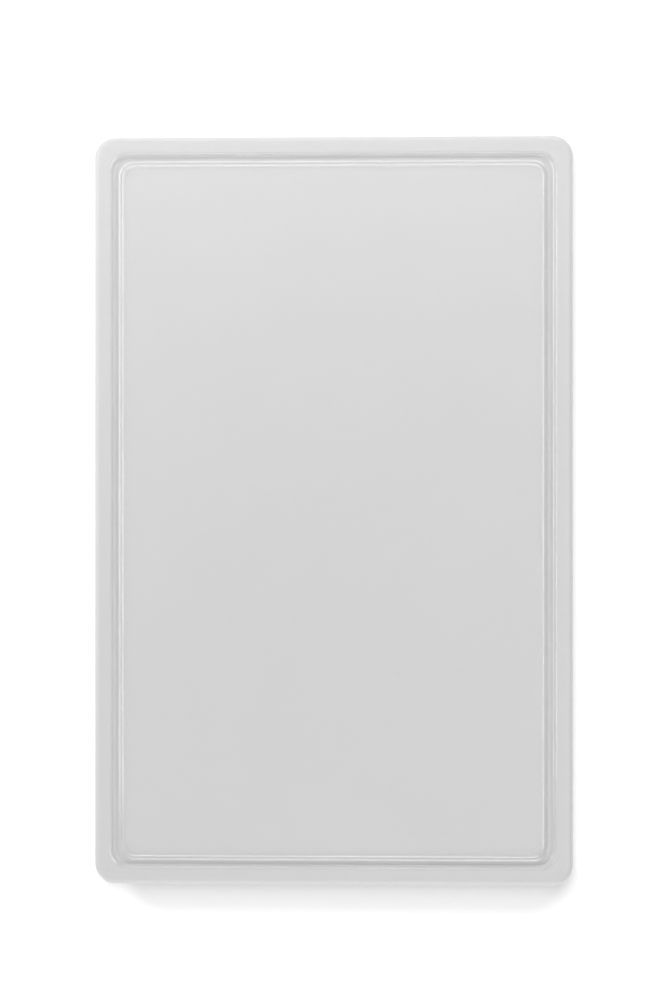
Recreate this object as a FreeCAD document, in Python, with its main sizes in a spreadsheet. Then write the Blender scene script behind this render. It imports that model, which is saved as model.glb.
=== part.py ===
"""Catering cutting board: one slab of white polyethylene with a juice groove milled round its top face,
standing on four silicone feet that press into blind sockets in its underside.

Frame: +Z up, origin on the surface that the board stands on, under its centre. X runs across the board
and Y along it. Lengths are in millimetres.
"""

import FreeCAD, Part
import math
import os
import re

import Sketcher

DIMENSIONS = {
    # slab
    "board_width": 320,
    "board_length": 500,
    "slab_thickness": 15,
    "corner_radius": 14,
    "top_edge_radius": 3.5,
    "under_edge_radius": 2.5,
    # juice groove: its inset is from the board's edge to the groove's middle line
    "groove_inset": 15,
    "groove_width": 6,
    "groove_depth": 3.5,
    "groove_outer_radius": 11,
    "groove_inner_radius": 9,
    "groove_floor_radius": 1.8,
    "groove_lip_radius": 1.6,
    # sockets in the underside: a round recess for the foot's pad, and a deeper hole for its stem
    "foot_inset": 38,
    "recess_radius": 10.25,
    "recess_depth": 2,
    "recess_chamfer": 0.4,
    "stem_hole_radius": 3,
    "stem_hole_depth": 7,
    # feet
    "foot_radius": 10,
    "foot_stand_off": 1.5,
    "foot_chamfer": 0.6,
    "dish_radius": 5.6,
    "dish_depth": 0.8,
    "stem_radius": 2.5,
    "stem_length": 6,
    "stem_tip_chamfer": 0.8,
    "first_barb": 0.7,
    "barb_length": 1.2,
    "barb_land": 0.2,
    "barb_pitch": 1.6,
}
BARBS = 3
# which way each foot lies from the board's centre, across it and along it
FOOT_CORNERS = {
    "foot_front_left": (-1, -1),
    "foot_front_right": (1, -1),
    "foot_rear_left": (-1, 1),
    "foot_rear_right": (1, 1),
}
SUM_CELL = "D1"  # where worth() does its sums
TOUCH = 1e-4  # how far a point may lie from a plane that it belongs to
UPWARD = FreeCAD.Vector(0, 0, 1)
ORIGIN_POINT = (-1, 1)  # a sketch's own origin, as constraints name it
START, END, CENTRE = 1, 2, 3  # the points of a line or arc, as constraints name them

doc = FreeCAD.newDocument("CuttingBoard")
sheet = doc.addObject("Spreadsheet::Sheet", "Dimensions")


# ---------------------------------------------------------------- driving dimensions


def fill_sheet():
    """Gives each driving dimension a named cell of its own."""
    for row, (name, number) in enumerate(DIMENSIONS.items(), start=1):
        sheet.set(f"A{row}", name)
        sheet.set(f"B{row}", str(number))
        sheet.setAlias(f"B{row}", name)
    doc.recompute()


def bound(formula):
    """A formula in the sheet's names, as other objects' properties have to write it."""
    return re.sub("|".join(DIMENSIONS), lambda name: f"Dimensions.{name.group()}", formula)


def bind(thing, **formulas):
    """Binds properties to formulas. Two underscores in a property's name stand for a dot."""
    for name, formula in formulas.items():
        thing.setExpression(name.replace("__", "."), bound(formula))


def worth(formula):
    """What a formula in the sheet's names comes to."""
    sheet.set(SUM_CELL, "=" + formula)
    sheet.recompute()
    number = float(sheet.get(SUM_CELL))
    sheet.clear(SUM_CELL)
    return number


# ---------------------------------------------------------------- sketches


def new_sketch(body, name, role="XY_Plane", height=None):
    """A sketch on one of a body's own planes, raised by what a formula comes to."""
    plane = next(feature for feature in body.Origin.OriginFeatures if feature.Role == role)
    sketch = body.newObject("Sketcher::SketchObject", name)
    sketch.AttachmentSupport = [(plane, "")]
    sketch.MapMode = "FlatFace"
    if height:
        bind(sketch, AttachmentOffset__Base__z=height)
    return sketch


def dimension(sketch, name, formula, *constraint):
    """Adds a dimension to a sketch and binds it to a formula."""
    index = sketch.addConstraint(Sketcher.Constraint(*constraint, worth(formula)))
    sketch.renameConstraint(index, name)
    bind(sketch, **{f"Constraints__{name}": formula})


def circle(sketch, name, radius, x=0, y=0):
    """Draws a circle of a given radius round a point, and returns its number in the sketch."""
    number = sketch.addGeometry(Part.Circle(FreeCAD.Vector(x, y, 0), UPWARD, worth(radius)))
    dimension(sketch, f"{name}_radius", radius, "Radius", number)
    return number


def central_circle(sketch, name, radius):
    """Draws a circle round the sketch's origin."""
    number = circle(sketch, name, radius)
    sketch.addConstraint(Sketcher.Constraint("Coincident", number, CENTRE, *ORIGIN_POINT))


def foot_circles(sketch, radius):
    """Draws one circle round each foot's place."""
    across = "board_width / 2 - foot_inset"
    along = "board_length / 2 - foot_inset"
    for name, (side, end) in FOOT_CORNERS.items():
        number = circle(sketch, name, radius, side * worth(across), end * worth(along))
        for kind, way, formula in (("DistanceX", side, across), ("DistanceY", end, along)):
            points = [*ORIGIN_POINT, number, CENTRE] if way > 0 else [number, CENTRE, *ORIGIN_POINT]
            dimension(sketch, f"{name}_{kind}", formula, kind, *points)


def rounded_rectangle(sketch, name, inset, radius):
    """Draws the board's outline moved in by an inset, with corners of a given radius."""
    width = f"board_width - 2 * ({inset})"
    length = f"board_length - 2 * ({inset})"
    r = worth(radius)
    x = worth(width) / 2 - r
    y = worth(length) / 2 - r
    # each side in turn, then the corner that follows it: front, right, rear, left
    turns = [
        ((-x, -y - r), (x, -y - r), (x, -y), 270),
        ((x + r, -y), (x + r, y), (x, y), 0),
        ((x, y + r), (-x, y + r), (-x, y), 90),
        ((-x - r, y), (-x - r, -y), (-x, -y), 180),
    ]
    first = sketch.GeometryCount
    for start, end, middle, degrees in turns:
        sketch.addGeometry(Part.LineSegment(FreeCAD.Vector(*start, 0), FreeCAD.Vector(*end, 0)))
        whole = Part.Circle(FreeCAD.Vector(*middle, 0), UPWARD, r)
        sketch.addGeometry(Part.ArcOfCircle(whole, math.radians(degrees), math.radians(degrees + 90)))
    front, front_corner, right, _, rear, rear_corner, left, _ = range(first, first + 8)
    for piece in range(8):
        following = first + (piece + 1) % 8
        sketch.addConstraint(Sketcher.Constraint("Tangent", first + piece, END, following, START))
    for side in (front, rear):
        sketch.addConstraint(Sketcher.Constraint("Horizontal", side))
    for side in (right, left):
        sketch.addConstraint(Sketcher.Constraint("Vertical", side))
    for corner in range(front_corner + 2, first + 8, 2):
        sketch.addConstraint(Sketcher.Constraint("Equal", front_corner, corner))
    opposite = (front_corner, CENTRE, rear_corner, CENTRE)
    sketch.addConstraint(Sketcher.Constraint("Symmetric", *opposite, *ORIGIN_POINT))
    dimension(sketch, f"{name}_radius", radius, "Radius", front_corner)
    dimension(sketch, f"{name}_width", width, "DistanceX", left, START, right, START)
    dimension(sketch, f"{name}_length", length, "DistanceY", front, START, rear, START)


def polygon(sketch, corners):
    """Draws a closed outline through corners given as pairs of formulas."""
    points = [FreeCAD.Vector(worth(x), worth(y), 0) for x, y in corners]
    for point, following in zip(points, points[1:] + points[:1]):
        sketch.addGeometry(Part.LineSegment(point, following))
    for number, (x, y) in enumerate(corners):
        following = (number + 1) % len(corners)
        sketch.addConstraint(Sketcher.Constraint("Coincident", number, END, following, START))
        dimension(sketch, f"corner_{number}_x", x, "DistanceX", *ORIGIN_POINT, number, START)
        dimension(sketch, f"corner_{number}_y", y, "DistanceY", *ORIGIN_POINT, number, START)


# ---------------------------------------------------------------- features


def new_pad(body, name, sketch, height):
    """Raises a sketch's shape to a height."""
    pad = body.newObject("PartDesign::Pad", name)
    pad.Profile = sketch
    bind(pad, Length=height)
    doc.recompute()
    return pad


def new_pocket(body, name, sketch, depth, upward):
    """Cuts a sketch's shape out of a body to a depth."""
    before = body.Shape.Volume
    pocket = body.newObject("PartDesign::Pocket", name)
    pocket.Profile = sketch
    pocket.Reversed = upward
    bind(pocket, Length=depth)
    doc.recompute()
    if pocket.Shape.Volume >= before:
        raise RuntimeError(f"{name} cuts nothing")
    return pocket


def dress_edges(body, kind, name, height, inset="0", **sizes):
    """Fillets or chamfers the edges of a body that lie all along at one height.

    Only edges inside the board's outline moved in by the inset count.
    """
    base = body.Tip
    x = worth(f"board_width / 2 - ({inset})") + TOUCH
    y = worth(f"board_length / 2 - ({inset})") + TOUCH
    level = worth(height)
    edges = []
    for number, edge in enumerate(base.Shape.Edges, start=1):
        box = edge.BoundBox
        is_level = abs(box.ZMin - level) < TOUCH and abs(box.ZMax - level) < TOUCH
        is_inside = max(-box.XMin, box.XMax) < x and max(-box.YMin, box.YMax) < y
        if is_level and is_inside:
            edges.append(f"Edge{number}")
    dressing = body.newObject(f"PartDesign::{kind}", name)
    dressing.Base = (base, edges)
    bind(dressing, **sizes)
    doc.recompute()


# ---------------------------------------------------------------- sub-parts


def make_slab():
    """The polyethylene slab: rounded edges, juice groove, and a blind socket for each foot."""
    body = doc.addObject("PartDesign::Body", "board_slab")
    bind(body, Placement__Base__z="foot_stand_off")

    outline = new_sketch(body, "Outline")
    rounded_rectangle(outline, "outline", "0", "corner_radius")
    new_pad(body, "Plate", outline, "slab_thickness")
    dress_edges(body, "Fillet", "TopEdge", "slab_thickness", Radius="top_edge_radius")
    dress_edges(body, "Fillet", "UnderEdge", "0", Radius="under_edge_radius")

    half = "groove_width / 2"
    outer = f"groove_inset - {half}"
    walls = new_sketch(body, "GrooveWalls", height="slab_thickness")
    rounded_rectangle(walls, "outer_wall", outer, "groove_outer_radius")
    rounded_rectangle(walls, "inner_wall", f"groove_inset + {half}", "groove_inner_radius")
    new_pocket(body, "JuiceGroove", walls, "groove_depth", upward=False)
    floor = "slab_thickness - groove_depth"
    dress_edges(body, "Fillet", "GrooveFloor", floor, outer, Radius="groove_floor_radius")
    dress_edges(body, "Fillet", "GrooveLips", "slab_thickness", outer, Radius="groove_lip_radius")

    recesses = new_sketch(body, "Recesses")
    foot_circles(recesses, "recess_radius")
    new_pocket(body, "FootRecesses", recesses, "recess_depth", upward=True)
    holes = new_sketch(body, "StemHoles", height="recess_depth")
    foot_circles(holes, "stem_hole_radius")
    new_pocket(body, "FootStemHoles", holes, "stem_hole_depth", upward=True)
    mouths = "foot_inset - recess_radius"
    dress_edges(body, "Chamfer", "RecessMouths", "0", mouths, Size="recess_chamfer")
    return body


def make_foot(name, side, end):
    """A silicone foot: a pad with a dished underside, and a stem whose barbs grip the slab's stem hole."""
    body = doc.addObject("PartDesign::Body", name)
    bind(body, Placement__Base__x=f"{side} * (board_width / 2 - foot_inset)")
    bind(body, Placement__Base__y=f"{end} * (board_length / 2 - foot_inset)")
    pad_top = "foot_stand_off + recess_depth"
    stem_top = f"{pad_top} + stem_length"

    disc = new_sketch(body, "Disc")
    central_circle(disc, "disc", "foot_radius")
    new_pad(body, "Pad", disc, pad_top)
    dress_edges(body, "Chamfer", "PadEdge", "0", Size="foot_chamfer")
    dish = new_sketch(body, "Dish")
    central_circle(dish, "dish", "dish_radius")
    new_pocket(body, "DishedUnderside", dish, "dish_depth", upward=True)

    stem = new_sketch(body, "Stem", height=pad_top)
    central_circle(stem, "stem", "stem_radius")
    new_pad(body, "StemRod", stem, "stem_length")
    dress_edges(body, "Chamfer", "StemTip", stem_top, Size="stem_tip_chamfer")

    # each barb is flat below, so that it holds, and slopes back to the stem above
    barb = new_sketch(body, "BarbProfile", role="XZ_Plane")
    inside = "stem_radius / 2"
    foot_of_barb = f"{pad_top} + first_barb"
    top_of_barb = f"{foot_of_barb} + barb_length"
    polygon(barb, [
        (inside, foot_of_barb),
        ("stem_hole_radius", foot_of_barb),
        ("stem_hole_radius", f"{foot_of_barb} + barb_land"),
        ("stem_radius", top_of_barb),
        (inside, top_of_barb),
    ])
    ring = body.newObject("PartDesign::Revolution", "Barb")
    ring.Profile = barb
    ring.ReferenceAxis = (barb, ["V_Axis"])
    ring.Angle = 360
    doc.recompute()
    row = body.newObject("PartDesign::LinearPattern", "Barbs")
    row.Originals = [ring]
    row.Direction = (barb, ["V_Axis"])
    row.Occurrences = BARBS
    bind(row, Length=f"{BARBS - 1} * barb_pitch")
    body.Tip = row
    doc.recompute()
    return body


# ---------------------------------------------------------------- checks and files


def check_document():
    """Stops the script if any object failed to build."""
    for thing in doc.Objects:
        if {"Invalid", "Error"} & set(thing.State):
            raise RuntimeError(f"{thing.Name} failed: {thing.State}")


def check_shape(body):
    """Stops the script if a sub-part isn't one sound solid."""
    shape = body.Shape
    if shape.isNull() or not shape.isValid() or len(shape.Solids) != 1:
        raise RuntimeError(f"{body.Label} isn't one valid solid")


fill_sheet()
sub_parts = [make_slab()]
for foot_name, foot_way in FOOT_CORNERS.items():
    sub_parts.append(make_foot(foot_name, *foot_way))
doc.recompute()
check_document()
for sub_part in sub_parts:
    check_shape(sub_part)

os.makedirs("parts", exist_ok=True)
for sub_part in sub_parts:
    sub_part.Shape.exportStep(f"parts/{sub_part.Label}.step")
    box = sub_part.Shape.optimalBoundingBox(False)
    print(f"{sub_part.Label}: {sub_part.Shape.Volume:.0f} mm3, "
          f"x {box.XMin:.2f} to {box.XMax:.2f}, y {box.YMin:.2f} to {box.YMax:.2f}, "
          f"z {box.ZMin:.2f} to {box.ZMax:.2f}")
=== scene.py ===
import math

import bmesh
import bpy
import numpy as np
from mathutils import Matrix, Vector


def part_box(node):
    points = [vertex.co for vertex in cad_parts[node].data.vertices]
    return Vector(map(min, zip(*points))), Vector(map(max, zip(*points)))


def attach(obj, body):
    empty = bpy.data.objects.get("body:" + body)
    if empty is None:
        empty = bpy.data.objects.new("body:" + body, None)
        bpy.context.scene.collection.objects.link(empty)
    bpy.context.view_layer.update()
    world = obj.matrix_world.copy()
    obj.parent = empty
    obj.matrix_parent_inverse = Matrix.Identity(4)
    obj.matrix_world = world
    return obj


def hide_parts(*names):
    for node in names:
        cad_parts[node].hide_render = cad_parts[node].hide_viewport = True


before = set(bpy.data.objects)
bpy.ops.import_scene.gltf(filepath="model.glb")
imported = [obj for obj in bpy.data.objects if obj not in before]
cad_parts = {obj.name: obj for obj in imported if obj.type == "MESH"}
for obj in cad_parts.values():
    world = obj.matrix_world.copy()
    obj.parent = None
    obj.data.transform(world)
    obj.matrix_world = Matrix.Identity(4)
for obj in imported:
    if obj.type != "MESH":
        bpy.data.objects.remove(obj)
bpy.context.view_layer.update()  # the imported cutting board: a slab and its four feet

# The looks of a white catering board: a satin polyethylene slab with a milled juice groove, and soft feet.
# It stands on a bright light table, and is seen from almost straight above.
# Lengths are in metres, apart from a foot's section. Places are in the board's own frame: X across it,
# Y along it and Z up from what it stands on.

MM = 0.001
SLAB_LOW, SLAB_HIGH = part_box("board_slab")
HALF_WIDTH = SLAB_HIGH.x
HALF_LENGTH = SLAB_HIGH.y
SLAB_BOTTOM = SLAB_LOW.z
SLAB_TOP = SLAB_HIGH.z
FEET = sorted(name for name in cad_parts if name.startswith("foot_"))

# the slab's outline and section
CORNER_RADIUS = 14 * MM
UNDER_EDGE_RADIUS = 2.5 * MM
TOP_EDGE_RADIUS = 3.4 * MM
GROOVE_INSET = 15 * MM
GROOVE_OUTER_CORNER_RADIUS = 11.3 * MM
GROOVE_INNER_CORNER_RADIUS = 9 * MM
GROOVE_DEPTH = 3.5 * MM
GROOVE_FLOOR_HALF = 0.65 * MM
GROOVE_FLOOR_RADIUS = 2.3 * MM
LIP_RADIUS = 2.3 * MM
LIP_STEEPEST = math.radians(72)
# the flat surfaces roll off a little towards their edges
ROLL_SLOPE = math.radians(3)
EDGE_ROLL_LENGTH = 5 * MM
RIM_ROLL_LENGTH = 1 * MM
PANEL_ROLL_LENGTH = 6 * MM
# the surface is fully smooth this far below the flats, and the outer edges are less smooth than the groove
CUT_DEPTH = 0.25 * MM
SCRAPED_SHARE = 0.12
# how finely the slab and the feet are divided
CORNER_STEPS = 16
SIDE_STEP = 6 * MM
SIDE_STEPS = [round((2 * half - 2 * CORNER_RADIUS) / SIDE_STEP) for half in (HALF_WIDTH, HALF_LENGTH)]
FILLET_STEPS = 10
LIP_STEPS = 12
FLOOR_STEPS = 12
ROLL_STEPS = 5
ROUND_STEPS = 96
# a corner is drawn in two halves, because the loops round the board start at the middle of one
EIGHTH_TURN = math.radians(45)
# bends sharper than these are shaded as creases
SLAB_CREASE = math.radians(30)
FOOT_CREASE = math.radians(35)

# the sockets in the underside
SOCKET_RADIUS = 10.25 * MM
SOCKET_DEPTH = 2 * MM
SOCKET_CHAMFER = 0.4 * MM
STEM_HOLE_RADIUS = 3 * MM
STEM_HOLE_DEPTH = 7 * MM

# a foot's section, in millimetres: a pad with a dished and ringed sole, and a barbed stem
PAD_RADIUS = 10
PAD_CHAMFER = 0.3
DISH_DEPTH = 0.8
SOLE_RING_RADII = (6.8, 8.0)
SOLE_RING_DEPTH = 0.3
SOLE_RING_SLOPE = 0.25
SOLE_RING_FLOOR = 0.1
STEM_RADIUS = 2.5
STEM_LENGTH = 6
STEM_FILLET = 0.4
STEM_TIP_RADIUS = 1.7
STEM_TIP_LENGTH = 0.8
BARB_RADIUS = 3
BARB_COUNT = 3
BARB_START = 0.7
BARB_PITCH = 1.6
BARB_LAND = 0.2
BARB_LENGTH = 1.2
# the dish's soft rim and the pad's rounded lower edge, as (radius, height)
DISH_RIM = [(4.6, DISH_DEPTH), (5.1, 0.7), (5.5, 0.3), (5.75, 0.06), (6.0, 0)]
PAD_LOWER_EDGE = [(9.2, 0), (9.6, 0.12), (9.88, 0.4), (PAD_RADIUS, 0.8)]


# ---------------------------------------------------------------- meshes


def new_object(name, points, faces, crease):
    """A smoothly shaded mesh object, creased where its faces meet at more than an angle."""
    mesh = bpy.data.meshes.new(name)
    mesh.from_pydata([tuple(point) for point in points], [], faces)
    mesh.validate()
    mesh.update()
    mesh.shade_smooth()
    mesh.set_sharp_from_angle(angle=crease)
    piece = bpy.data.objects.new(name, mesh)
    bpy.context.scene.collection.objects.link(piece)
    return piece


class Skin:
    """Points and faces gathered loop by loop."""

    def __init__(self):
        self.points = []
        self.faces = []

    def loop(self, points):
        """Adds points and returns their numbers."""
        first = len(self.points)
        self.points.extend(points)
        return list(range(first, len(self.points)))

    def bridge(self, lower, upper):
        """Joins two closed loops of equal length with quads."""
        for i in range(len(lower)):
            j = (i + 1) % len(lower)
            self.faces.append((lower[i], lower[j], upper[j], upper[i]))

    def loft(self, loops):
        """Adds loops of points and joins each to the next. Returns the first and last loops' numbers."""
        numbers = [self.loop(points) for points in loops]
        for lower, upper in zip(numbers, numbers[1:]):
            self.bridge(lower, upper)
        return numbers[0], numbers[-1]


def fillet(centre, radius, start, end, steps):
    """Points along an arc in a section, from one angle to another in degrees, without the first point."""
    angles = [math.radians(start + (end - start) * i / steps) for i in range(1, steps + 1)]
    return [(centre[0] + radius * math.cos(a), centre[1] + radius * math.sin(a)) for a in angles]


def shoulder(radius, steepest, roll_length, steps):
    """The section of a bend that eases into one of the top flats, from its steepest point to the flat.

    Its points are (distance from the steepest point, height).
    """
    roll_radius = roll_length / math.sin(ROLL_SLOPE)
    roll_drop = roll_radius * (1 - math.cos(ROLL_SLOPE))
    reach = radius * (math.sin(steepest) - math.sin(ROLL_SLOPE))
    points = []
    for slope in np.linspace(steepest, ROLL_SLOPE, steps + 1):
        inset = radius * (math.sin(steepest) - math.sin(slope))
        drop = roll_drop + radius * (math.cos(ROLL_SLOPE) - math.cos(slope))
        points.append((inset, SLAB_TOP - drop))
    for slope in np.linspace(ROLL_SLOPE, 0, ROLL_STEPS + 1)[1:]:
        inset = reach + roll_length - roll_radius * math.sin(slope)
        points.append((inset, SLAB_TOP - roll_radius * (1 - math.cos(slope))))
    return points


def slab_section():
    """The slab's section as (inset from the outline, height), from the underside round to the panel."""
    under_centre = (UNDER_EDGE_RADIUS, SLAB_BOTTOM + UNDER_EDGE_RADIUS)
    under = fillet(under_centre, UNDER_EDGE_RADIUS, 270, 180, FILLET_STEPS)
    top_edge = shoulder(TOP_EDGE_RADIUS, math.radians(90), EDGE_ROLL_LENGTH, FILLET_STEPS)
    # half of the groove's floor, as (distance from the groove's middle, height)
    floor_z = SLAB_TOP - GROOVE_DEPTH
    half = [(0, floor_z)]
    for slope in np.linspace(0, LIP_STEEPEST, FLOOR_STEPS + 1):
        inset = GROOVE_FLOOR_HALF + GROOVE_FLOOR_RADIUS * math.sin(slope)
        half.append((inset, floor_z + GROOVE_FLOOR_RADIUS * (1 - math.cos(slope))))
    wall_inset, wall_z = half[-1]
    panel_lip = shoulder(LIP_RADIUS, LIP_STEEPEST, PANEL_ROLL_LENGTH, LIP_STEPS)
    rim_lip = shoulder(LIP_RADIUS, LIP_STEEPEST, RIM_ROLL_LENGTH, LIP_STEPS)
    rise = panel_lip[0][1] - wall_z
    lip_inset = wall_inset + rise / math.tan(LIP_STEEPEST)
    panel_side = half + [(lip_inset + x, z) for x, z in panel_lip]
    rim_side = half + [(lip_inset + x, z) for x, z in rim_lip]
    outer_half = [(GROOVE_INSET - x, z) for x, z in reversed(rim_side)]
    inner_half = [(GROOVE_INSET + x, z) for x, z in panel_side[1:]]
    return [(UNDER_EDGE_RADIUS, SLAB_BOTTOM)] + under + top_edge + outer_half + inner_half


def milled_share(point):
    """How smooth a point is: 1 in the milled groove, 0 on the pressed flats, little on the outer edges."""
    x, y, height = point
    if height < SLAB_BOTTOM + UNDER_EDGE_RADIUS:
        return 0.0
    inset = min(HALF_WIDTH - abs(x), HALF_LENGTH - abs(y))
    shine = SCRAPED_SHARE if inset < GROOVE_INSET / 2 else 1.0
    return shine * min((SLAB_TOP - height) / CUT_DEPTH, 1.0)


def corner_radius_at(inset):
    """The radius in plan of the corners at an inset. They follow the outline and the groove's walls."""
    wall_offset = GROOVE_FLOOR_HALF + GROOVE_FLOOR_RADIUS
    insets = [0, GROOVE_INSET - wall_offset, GROOVE_INSET + wall_offset]
    radii = [CORNER_RADIUS, GROOVE_OUTER_CORNER_RADIUS, GROOVE_INNER_CORNER_RADIUS]
    return np.interp(inset, insets, radii)


def round_point(centre, radius, angle, height):
    """A point at an angle on a circle round a centre."""
    return (centre[0] + radius * math.cos(angle), centre[1] + radius * math.sin(angle), height)


def outline_loop(inset, height):
    """Points round the board at an inset, anticlockwise from the middle of its front left corner."""
    radius = corner_radius_at(inset)
    x = HALF_WIDTH - inset - radius
    y = HALF_LENGTH - inset - radius
    half_corner = CORNER_STEPS // 2
    points = []
    corners = [(-x, -y), (x, -y), (x, y), (-x, y)]
    for side, (centre, following) in enumerate(zip(corners, corners[1:] + corners[:1])):
        heading = math.radians(225 + 90 * side)
        facing_angle = heading + EIGHTH_TURN
        for i in range(half_corner):
            angle = heading + EIGHTH_TURN * i / half_corner
            points.append(round_point(centre, radius, angle, height))
        facing = Vector((math.cos(facing_angle), math.sin(facing_angle)))
        start = Vector(centre) + facing * radius
        end = Vector(following) + facing * radius
        steps = SIDE_STEPS[side % 2]
        for i in range(steps):
            point = start.lerp(end, i / steps)
            points.append((point.x, point.y, height))
        for i in range(half_corner):
            angle = facing_angle + EIGHTH_TURN * i / half_corner
            points.append(round_point(following, radius, angle, height))
    return points


def fill_with_grid(skin, loop):
    """Fills a loop that began at the middle of a corner with a grid of quads."""
    across = CORNER_STEPS + SIDE_STEPS[0]
    along = CORNER_STEPS + SIDE_STEPS[1]
    points = np.array(skin.points)
    front = loop[: across + 1]
    right = loop[across : across + along + 1]
    rear = loop[across + along : 2 * across + along + 1][::-1]
    left = (loop[2 * across + along :] + loop[:1])[::-1]
    grid = np.zeros((across + 1, along + 1), int)
    grid[:, 0], grid[:, along], grid[0, :], grid[across, :] = front, rear, left, right
    for i in range(1, across):
        u = i / across
        row = []
        for j in range(1, along):
            v = j / along
            # ruled between opposite sides both ways, less what the four corners would add twice
            ruled = (1 - v) * points[front[i]] + v * points[rear[i]]
            ruled += (1 - u) * points[left[j]] + u * points[right[j]]
            ruled -= (1 - u) * ((1 - v) * points[front[0]] + v * points[rear[0]])
            ruled -= u * ((1 - v) * points[front[across]] + v * points[rear[across]])
            row.append(tuple(ruled))
        grid[i, 1:along] = skin.loop(row)
    for i in range(across):
        for j in range(along):
            skin.faces.append((grid[i, j], grid[i + 1, j], grid[i + 1, j + 1], grid[i, j + 1]))


def circle_loop(centre, radius, height):
    """Points round a circle."""
    angles = [2 * math.pi * i / ROUND_STEPS for i in range(ROUND_STEPS)]
    return [round_point(centre, radius, angle, height) for angle in angles]


def foot_centre(name):
    """The middle of a foot's box."""
    low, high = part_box(name)
    return (low + high) / 2


def close_underside(skin, outer, sockets):
    """Fills the flat underside between its outer loop and the mouths of the sockets."""
    flat = bmesh.new()
    numbers = {}
    for loop in [outer] + sockets:
        verts = []
        for number in loop:
            vert = flat.verts.new(skin.points[number])
            numbers[vert] = number
            verts.append(vert)
        for a, b in zip(verts, verts[1:] + verts[:1]):
            flat.edges.new((a, b))
    edges = flat.edges[:]
    bmesh.ops.triangle_fill(flat, use_beauty=True, use_dissolve=False, edges=edges, normal=(0, 0, -1))
    for face in flat.faces:
        triple = [numbers[vert] for vert in face.verts]
        if face.normal.z > 0:
            triple.reverse()
        skin.faces.append(tuple(triple))
    flat.free()


def make_slab():
    """The slab as one closed skin: edges, groove, panel, underside and sockets."""
    skin = Skin()
    section = slab_section()
    outer, inner = skin.loft([outline_loop(inset, height) for inset, height in section])
    fill_with_grid(skin, inner)
    mouths = []
    for name in FEET:
        centre = foot_centre(name)
        ceiling = SLAB_BOTTOM + SOCKET_DEPTH
        rings = [
            (SOCKET_RADIUS + SOCKET_CHAMFER, SLAB_BOTTOM),
            (SOCKET_RADIUS, SLAB_BOTTOM + SOCKET_CHAMFER),
            (SOCKET_RADIUS, ceiling),
            (STEM_HOLE_RADIUS, ceiling),
            (STEM_HOLE_RADIUS, ceiling + STEM_HOLE_DEPTH),
        ]
        # the loops run clockwise, so that the socket's walls face its middle
        loops = [circle_loop(centre, radius, height)[::-1] for radius, height in rings]
        mouth, end = skin.loft(loops)
        skin.faces.append(tuple(end))
        mouths.append(mouth)
    close_underside(skin, outer, mouths)
    piece = new_object("slab", skin.points, skin.faces, SLAB_CREASE)
    milled = piece.data.attributes.new("milled", "FLOAT", "POINT")
    milled.data.foreach_set("value", [milled_share(point) for point in skin.points])
    return piece


def foot_profile():
    """The foot's section as (radius, height), from the middle of its dish round to the tip of its stem."""
    pad_top = (SLAB_BOTTOM + SOCKET_DEPTH) / MM
    stem_top = pad_top + STEM_LENGTH
    profile = [(0, DISH_DEPTH)] + DISH_RIM
    for radius in SOLE_RING_RADII:
        floor_start = radius + SOLE_RING_SLOPE
        floor_end = floor_start + SOLE_RING_FLOOR
        profile += [(radius, 0), (floor_start, SOLE_RING_DEPTH)]
        profile += [(floor_end, SOLE_RING_DEPTH), (floor_end + SOLE_RING_SLOPE, 0)]
    profile += PAD_LOWER_EDGE
    profile += [(PAD_RADIUS, pad_top - PAD_CHAMFER), (PAD_RADIUS - PAD_CHAMFER, pad_top)]
    profile += [(STEM_RADIUS + STEM_FILLET, pad_top), (STEM_RADIUS, pad_top + STEM_FILLET)]
    for barb in range(BARB_COUNT):
        low = pad_top + BARB_START + BARB_PITCH * barb
        profile += [(STEM_RADIUS, low), (BARB_RADIUS, low)]
        profile += [(BARB_RADIUS, low + BARB_LAND), (STEM_RADIUS, low + BARB_LENGTH)]
    profile += [(STEM_RADIUS, stem_top - STEM_TIP_LENGTH), (STEM_TIP_RADIUS, stem_top), (0, stem_top)]
    return [(radius * MM, height * MM) for radius, height in profile]


def make_foot(name):
    """A moulded silicone foot, turned from its section."""
    centre = foot_centre(name)
    skin = Skin()
    profile = foot_profile()
    first, last = skin.loft([circle_loop(centre, radius, height) for radius, height in profile[1:-1]])
    for height, loop, faces_up in ((profile[0][1], first, False), (profile[-1][1], last, True)):
        middle = skin.loop([(centre.x, centre.y, height)])[0]
        for a, b in zip(loop, loop[1:] + loop[:1]):
            skin.faces.append((a, b, middle) if faces_up else (b, a, middle))
    return new_object(name + "_moulded", skin.points, skin.faces, FOOT_CREASE)


# ---------------------------------------------------------------- materials


# most of a noise's values lie in this range
NOISE_LOW = 0.3
NOISE_HIGH = 0.7

# polyethylene
HDPE_DARKER = (0.84, 0.84, 0.84)
HDPE_LIGHTER = (0.85, 0.85, 0.85)
MOTTLE_SIZE = 60 * MM
HDPE_IOR = 1.54
HDPE_SPECULAR = 0.7
HAZE_SHARE = 0.3
HAZE_DEPTH = 1.5 * MM
PRESSED_ROUGHNESS = 0.42
PRESSED_SPREAD = 0.05
CUT_ROUGHNESS = 0.08
CUT_SPREAD = 0.02
# the cut bends shine under a coat, and keep this share of the grain and the waves
CUT_SHINE = 1.0
CUT_SHINE_IOR = 2.0
CUT_GRAIN = 0.15
GRAIN_SIZE = 0.9 * MM
GRAIN_HEIGHT = 0.03 * MM
# the pressed sheet is very slightly wavy, with its waves longer across the board than along it
WAVE_SIZE = 1.6 * MM
WAVE_STRETCH = 3
WAVE_HEIGHT = 0.1 * MM

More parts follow.
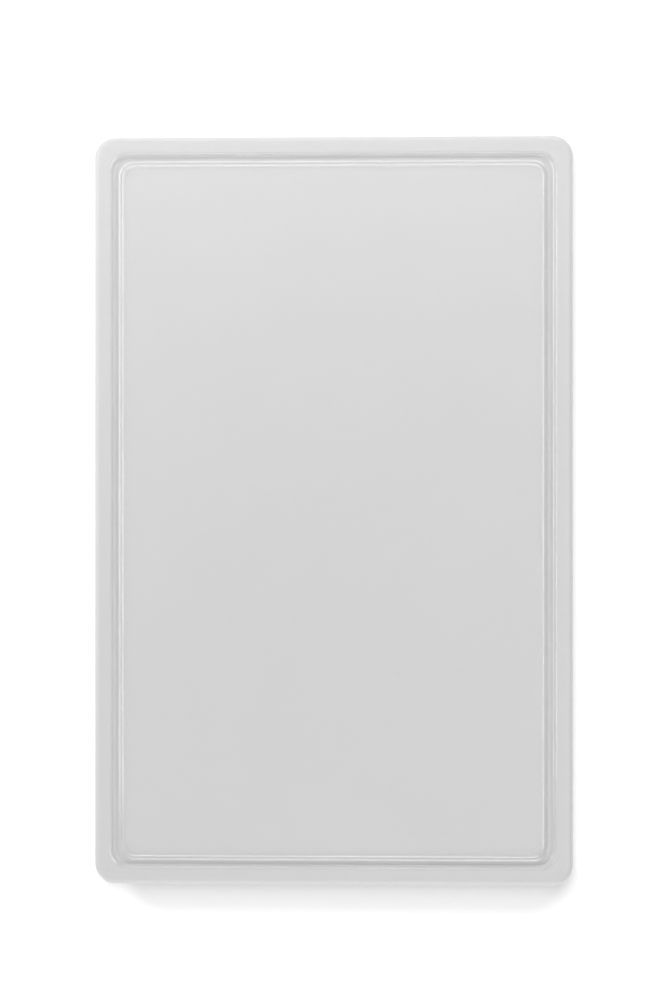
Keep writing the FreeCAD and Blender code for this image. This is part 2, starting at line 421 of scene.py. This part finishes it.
# silicone
SILICONE_DARKER = (0.34, 0.35, 0.36)
SILICONE_LIGHTER = (0.44, 0.45, 0.455)
SILICONE_IOR = 1.41
DUST_SIZE = 4 * MM
DUST_HIGH = 0.75
SKIN_SIZE = 0.5 * MM
SKIN_HEIGHT = 0.01 * MM
SKIN_SMOOTH = 0.5
SKIN_ROUGH = 0.66


class Nodes:
    """A material's node tree, written one node at a time."""

    def __init__(self, name):
        self.material = bpy.data.materials.new(name)
        self.material.use_nodes = True
        self.tree = self.material.node_tree
        self.shader = self.tree.nodes["Principled BSDF"]
        coordinates = self.tree.nodes.new("ShaderNodeTexCoord")
        self.place = coordinates.outputs["Object"]

    def add(self, kind, links=None, **values):
        """Adds a node, links its sockets and sets its properties and inputs."""
        node = self.tree.nodes.new("ShaderNode" + kind)
        for key, value in values.items():
            if hasattr(node, key):
                setattr(node, key, value)
            else:
                node.inputs[key.replace("_", " ")].default_value = value
        for key, source in (links or {}).items():
            self.tree.links.new(source, node.inputs[key])
        return node

    def noise(self, size, detail=2.0, roughness=0.5, stretch=1.0):
        """Noise with features of about a size, in metres, and stretched along X."""
        place = self.add("Mapping", {"Vector": self.place}, Scale=(1 / stretch, 1, 1)).outputs["Vector"]
        node = self.add("TexNoise", {"Vector": place}, Scale=1 / size, Detail=detail, Roughness=roughness)
        return node.outputs["Fac"]

    def between(self, source, low, high, from_low=NOISE_LOW, from_high=NOISE_HIGH):
        """A source's range mapped to low and high."""
        node = self.add("MapRange", {"Value": source})
        node.inputs["From Min"].default_value = from_low
        node.inputs["From Max"].default_value = from_high
        node.inputs["To Min"].default_value = low
        node.inputs["To Max"].default_value = high
        return node.outputs["Result"]

    def shade(self, source, darker, lighter, from_high=NOISE_HIGH):
        """A noise mapped to colours from darker to lighter."""
        node = self.add("ValToRGB", {"Fac": source})
        first, last = node.color_ramp.elements
        first.position = NOISE_LOW
        first.color = (*darker, 1)
        last.position = from_high
        last.color = (*lighter, 1)
        return node.outputs["Color"]

    def mix(self, share, none, full):
        """One value where share is 0, and another where it is 1."""
        node = self.add("Mix", {"Factor": share, "A": none, "B": full})
        return node.outputs["Result"]

    def together(self, operation, first, second):
        """Two values added or multiplied."""
        node = self.add("Math", operation=operation)
        self.tree.links.new(first, node.inputs[0])
        self.tree.links.new(second, node.inputs[1])
        return node.outputs["Value"]

    def bump(self, height, distance, after=None):
        """Normals bent by a height from 0 to 1 times a distance, on top of earlier ones."""
        links = {"Height": height}
        if after:
            links["Normal"] = after
        return self.add("Bump", links, Strength=1.0, Distance=distance).outputs["Normal"]

    def link(self, source, socket):
        """Links a source to the shader."""
        self.tree.links.new(source, self.shader.inputs[socket])

    def fix(self, **values):
        """Sets values that are the same all over the surface on the shader itself."""
        for key, value in values.items():
            self.shader.inputs[key.replace("_", " ")].default_value = value


def polyethylene():
    """White HDPE, slightly translucent, with a pressed sheet's faint grain and smoother cut surfaces."""
    nodes = Nodes("white_polyethylene")
    nodes.fix(IOR=HDPE_IOR, Specular_IOR_Level=HDPE_SPECULAR)
    nodes.fix(Subsurface_Weight=HAZE_SHARE, Subsurface_Scale=HAZE_DEPTH, Subsurface_Radius=(1.0, 1.0, 1.0))
    nodes.fix(Coat_Roughness=CUT_ROUGHNESS, Coat_IOR=CUT_SHINE_IOR)
    milled = nodes.add("Attribute", attribute_name="milled").outputs["Fac"]
    mottle = nodes.noise(MOTTLE_SIZE, detail=3.0)
    nodes.link(nodes.shade(mottle, HDPE_DARKER, HDPE_LIGHTER), "Base Color")
    grain = nodes.noise(GRAIN_SIZE, detail=3.0, roughness=0.6)
    pressed = nodes.between(grain, PRESSED_ROUGHNESS - PRESSED_SPREAD, PRESSED_ROUGHNESS + PRESSED_SPREAD)
    cut = nodes.between(grain, CUT_ROUGHNESS - CUT_SPREAD, CUT_ROUGHNESS + CUT_SPREAD)
    nodes.link(nodes.mix(milled, pressed, cut), "Roughness")
    relief = nodes.between(milled, 1.0, CUT_GRAIN, from_low=0.0, from_high=1.0)
    sheet_waves = nodes.noise(WAVE_SIZE, detail=1.0, stretch=WAVE_STRETCH)
    waves = nodes.together("MULTIPLY", sheet_waves, relief)
    fine = nodes.together("MULTIPLY", grain, relief)
    nodes.link(nodes.bump(fine, GRAIN_HEIGHT, nodes.bump(waves, WAVE_HEIGHT)), "Normal")
    nodes.link(nodes.between(milled, 0.0, CUT_SHINE, from_low=0.0, from_high=1.0), "Coat Weight")
    return nodes.material


def silicone():
    """Soft grey silicone with a matt moulded skin."""
    nodes = Nodes("grey_silicone")
    nodes.fix(IOR=SILICONE_IOR)
    skin = nodes.noise(SKIN_SIZE, detail=3.0)
    dust = nodes.noise(DUST_SIZE, detail=4.0)
    nodes.link(nodes.shade(dust, SILICONE_DARKER, SILICONE_LIGHTER, DUST_HIGH), "Base Color")
    nodes.link(nodes.between(skin, SKIN_SMOOTH, SKIN_ROUGH), "Roughness")
    nodes.link(nodes.bump(skin, SKIN_HEIGHT), "Normal")
    return nodes.material


# ---------------------------------------------------------------- studio


FLOOR_HALF = 6.0
FLOOR_COLOUR = 0.92
FLOOR_ROUGHNESS = 0.9
# the floor's glow holds painted shade: it is dimmed to almost nothing under the board, dimmed in a patch
# in front of it as a painted shadow, brighter beside the patch, and brightest far away, so the floor is
# darker near the board
GLOW_IN_PAINTED_SHADE_UNDER = 0.05
GLOW_IN_PAINTED_SHADOW = 0.3
GLOW_BESIDE = 0.5
GLOW_FAR = 0.9
# the glow changes over these distances outside the board's outline or the painted shadow's patch, or
# inside if below zero
GLOW_EDGE = -8 * MM
BESIDE_START = -8 * MM
BESIDE_END = 2.6 * MM
FAR_START = 25 * MM
FAR_END = 400 * MM
# the painted shadow's patch reaches less far to the left than the board, and further to the front
PAINTED_SHADOW_LEFT = -HALF_WIDTH + 17 * MM
PAINTED_SHADOW_FRONT = -HALF_LENGTH - 24 * MM
PAINTED_SHADOW_CORNER_RADIUS = 30 * MM
# the room: dim overhead, so that the softboxes shape the board, and lighter towards the horizon
SKY_OVERHEAD = 0.28
SKY_HORIZON = 0.5
HORIZON_TOP = 0.25

LEFT, RIGHT, FRONT, REAR = (-1, 0), (1, 0), (0, -1), (0, 1)
# each softbox's side, angle from the zenith in degrees, distance, size and watts
BOARD_SOFTBOXES = {
    "rear_near": (REAR, 59, 0.58, (0.8, 0.15), 0.88),
    "front_near": (FRONT, 59.5, 0.99, (0.9, 0.25), 2.0),
    "left_high": (LEFT, 31, 1.5, (1.3, 0.25), 0.5),
    "left_strip": ((-1, 0.2), 58, 0.9, (0.9, 0.13), 2.2),
    "right_high": (RIGHT, 25, 1.0, (0.9, 0.2), 2.2),
}
FLOOR_SOFTBOX = ((-0.45, 0.89), 28, 2.4, (0.7, 2.2), 29)

CAMERA_PLACE = Vector((0.0732, 0.0071, 2.0))
CAMERA_AIM = Vector((0.0002, 0.0071, SLAB_TOP))
# the length in view along the picture's longer side, at the top of the board
VIEW_LENGTH = 0.6674


def outside(nodes, left, front, radius):
    """How far a point lies outside a rounded box that reaches to the board's right and rear sides."""
    middle = nodes.add("VectorMath", {"Vector": nodes.place}, operation="SUBTRACT")
    middle.inputs[1].default_value = ((left + HALF_WIDTH) / 2, (front + HALF_LENGTH) / 2, 0)
    apart = nodes.add("VectorMath", {"Vector": middle.outputs["Vector"]}, operation="ABSOLUTE")
    past = nodes.add("VectorMath", {"Vector": apart.outputs["Vector"]}, operation="SUBTRACT")
    inner_half = ((HALF_WIDTH - left) / 2 - radius, (HALF_LENGTH - front) / 2 - radius, 0)
    past.inputs[1].default_value = inner_half
    clamped = nodes.add("VectorMath", {"Vector": past.outputs["Vector"]}, operation="MAXIMUM")
    clamped.inputs[1].default_value = (0, 0, 0)
    length = nodes.add("VectorMath", {"Vector": clamped.outputs["Vector"]}, operation="LENGTH")
    distance = nodes.add("Math", {"Value": length.outputs["Value"]}, operation="SUBTRACT")
    distance.inputs[1].default_value = radius
    return distance.outputs["Value"]


def make_floor():
    """A pale glowing floor, on which the board's cast shadow stays light, with painted shade under the
    board and a painted shadow in front of it.
    """
    corners = [(-1, -1), (1, -1), (1, 1), (-1, 1)]
    mesh = bpy.data.meshes.new("floor")
    mesh.from_pydata([(x * FLOOR_HALF, y * FLOOR_HALF, 0) for x, y in corners], [], [(0, 1, 2, 3)])
    floor = bpy.data.objects.new("floor", mesh)
    bpy.context.scene.collection.objects.link(floor)
    nodes = Nodes("light_table_painted_shade")
    nodes.fix(Base_Color=(FLOOR_COLOUR, FLOOR_COLOUR, FLOOR_COLOUR, 1), Roughness=FLOOR_ROUGHNESS)
    nodes.fix(Specular_IOR_Level=0.0, Emission_Color=(1, 1, 1, 1))
    board_distance = outside(nodes, -HALF_WIDTH, -HALF_LENGTH, CORNER_RADIUS)
    # painted shadow: the glow is dimmed in a rounded patch that reaches past the board's front, and rises
    # further away
    painted_shadow_distance = outside(nodes, PAINTED_SHADOW_LEFT, PAINTED_SHADOW_FRONT, PAINTED_SHADOW_CORNER_RADIUS)
    # painted shade: the glow fades to almost nothing under the board's edge and beneath the board
    unshaded_share = nodes.between(board_distance, GLOW_IN_PAINTED_SHADE_UNDER, 1.0, GLOW_EDGE, 0)
    near = nodes.between(painted_shadow_distance, GLOW_IN_PAINTED_SHADOW, GLOW_BESIDE, BESIDE_START, BESIDE_END)
    far = nodes.between(painted_shadow_distance, 0, GLOW_FAR - GLOW_BESIDE, FAR_START, FAR_END)
    glow = nodes.together("ADD", near, far)
    nodes.link(nodes.together("MULTIPLY", unshaded_share, glow), "Emission Strength")
    mesh.materials.append(nodes.material)
    return floor


def softbox(name, side, zenith, distance, size, power, lit):
    """A rectangular light that lights one collection, at an angle from the zenith towards a side."""
    tilt = math.radians(zenith)
    towards = Vector((side[0] * math.sin(tilt), side[1] * math.sin(tilt), math.cos(tilt)))
    data = bpy.data.lights.new(name, "AREA")
    data.shape = "RECTANGLE"
    data.size, data.size_y = size
    data.energy = power
    light = bpy.data.objects.new(name, data)
    light.location = towards * distance
    light.rotation_euler = towards.to_track_quat("Z", "Y").to_euler()
    light.light_linking.receiver_collection = lit
    bpy.context.scene.collection.objects.link(light)


def make_world():
    """A room that the camera sees as white, but that is dimmer as a light, most of all overhead."""
    world = bpy.data.worlds.new("studio")
    world.use_nodes = True
    tree = world.node_tree
    background = tree.nodes["Background"]
    direction = tree.nodes.new("ShaderNodeTexCoord")
    split = tree.nodes.new("ShaderNodeSeparateXYZ")
    tree.links.new(direction.outputs["Generated"], split.inputs["Vector"])
    sky = tree.nodes.new("ShaderNodeMapRange")
    sky.inputs["From Max"].default_value = HORIZON_TOP
    sky.inputs["To Min"].default_value = SKY_HORIZON
    sky.inputs["To Max"].default_value = SKY_OVERHEAD
    tree.links.new(split.outputs["Z"], sky.inputs["Value"])
    path = tree.nodes.new("ShaderNodeLightPath")
    strength = tree.nodes.new("ShaderNodeMix")
    strength.inputs["B"].default_value = 1.0
    tree.links.new(path.outputs["Is Camera Ray"], strength.inputs["Factor"])
    tree.links.new(sky.outputs["Result"], strength.inputs["A"])
    tree.links.new(strength.outputs["Result"], background.inputs["Strength"])
    background.inputs["Color"].default_value = (1, 1, 1, 1)
    bpy.context.scene.world = world


def make_camera():
    """A long lens that looks almost straight down, from a little right of the board's middle."""
    data = bpy.data.cameras.new("camera")
    distance = (CAMERA_PLACE - CAMERA_AIM).length
    data.lens = data.sensor_width * distance / VIEW_LENGTH
    camera = bpy.data.objects.new("camera", data)
    camera.location = CAMERA_PLACE
    tilt = math.atan2(CAMERA_PLACE.x - CAMERA_AIM.x, CAMERA_PLACE.z - CAMERA_AIM.z)
    camera.rotation_euler = (0, tilt, 0)
    bpy.context.scene.collection.objects.link(camera)
    bpy.context.scene.camera = camera


slab = make_slab()
slab.data.materials.append(polyethylene())
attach(slab, "root")
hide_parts("board_slab")
rubber = silicone()
pieces = [slab]
for foot_name in FEET:
    foot = make_foot(foot_name)
    pieces.append(foot)
    foot.data.materials.append(rubber)
    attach(foot, "root")
    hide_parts(foot_name)

floor = make_floor()
make_world()
# the board has its own softboxes, and the floor one that casts the board's soft shadow in front, which the
# floor's painted shadow deepens
board = bpy.data.collections.new("lit_board")
table = bpy.data.collections.new("lit_floor")
table.objects.link(floor)
for piece in pieces:
    board.objects.link(piece)
for light_name, settings in BOARD_SOFTBOXES.items():
    softbox(light_name, *settings, board)
softbox("floor_key", *FLOOR_SOFTBOX, table)
make_camera()
bpy.context.scene.view_settings.view_transform = "Standard"
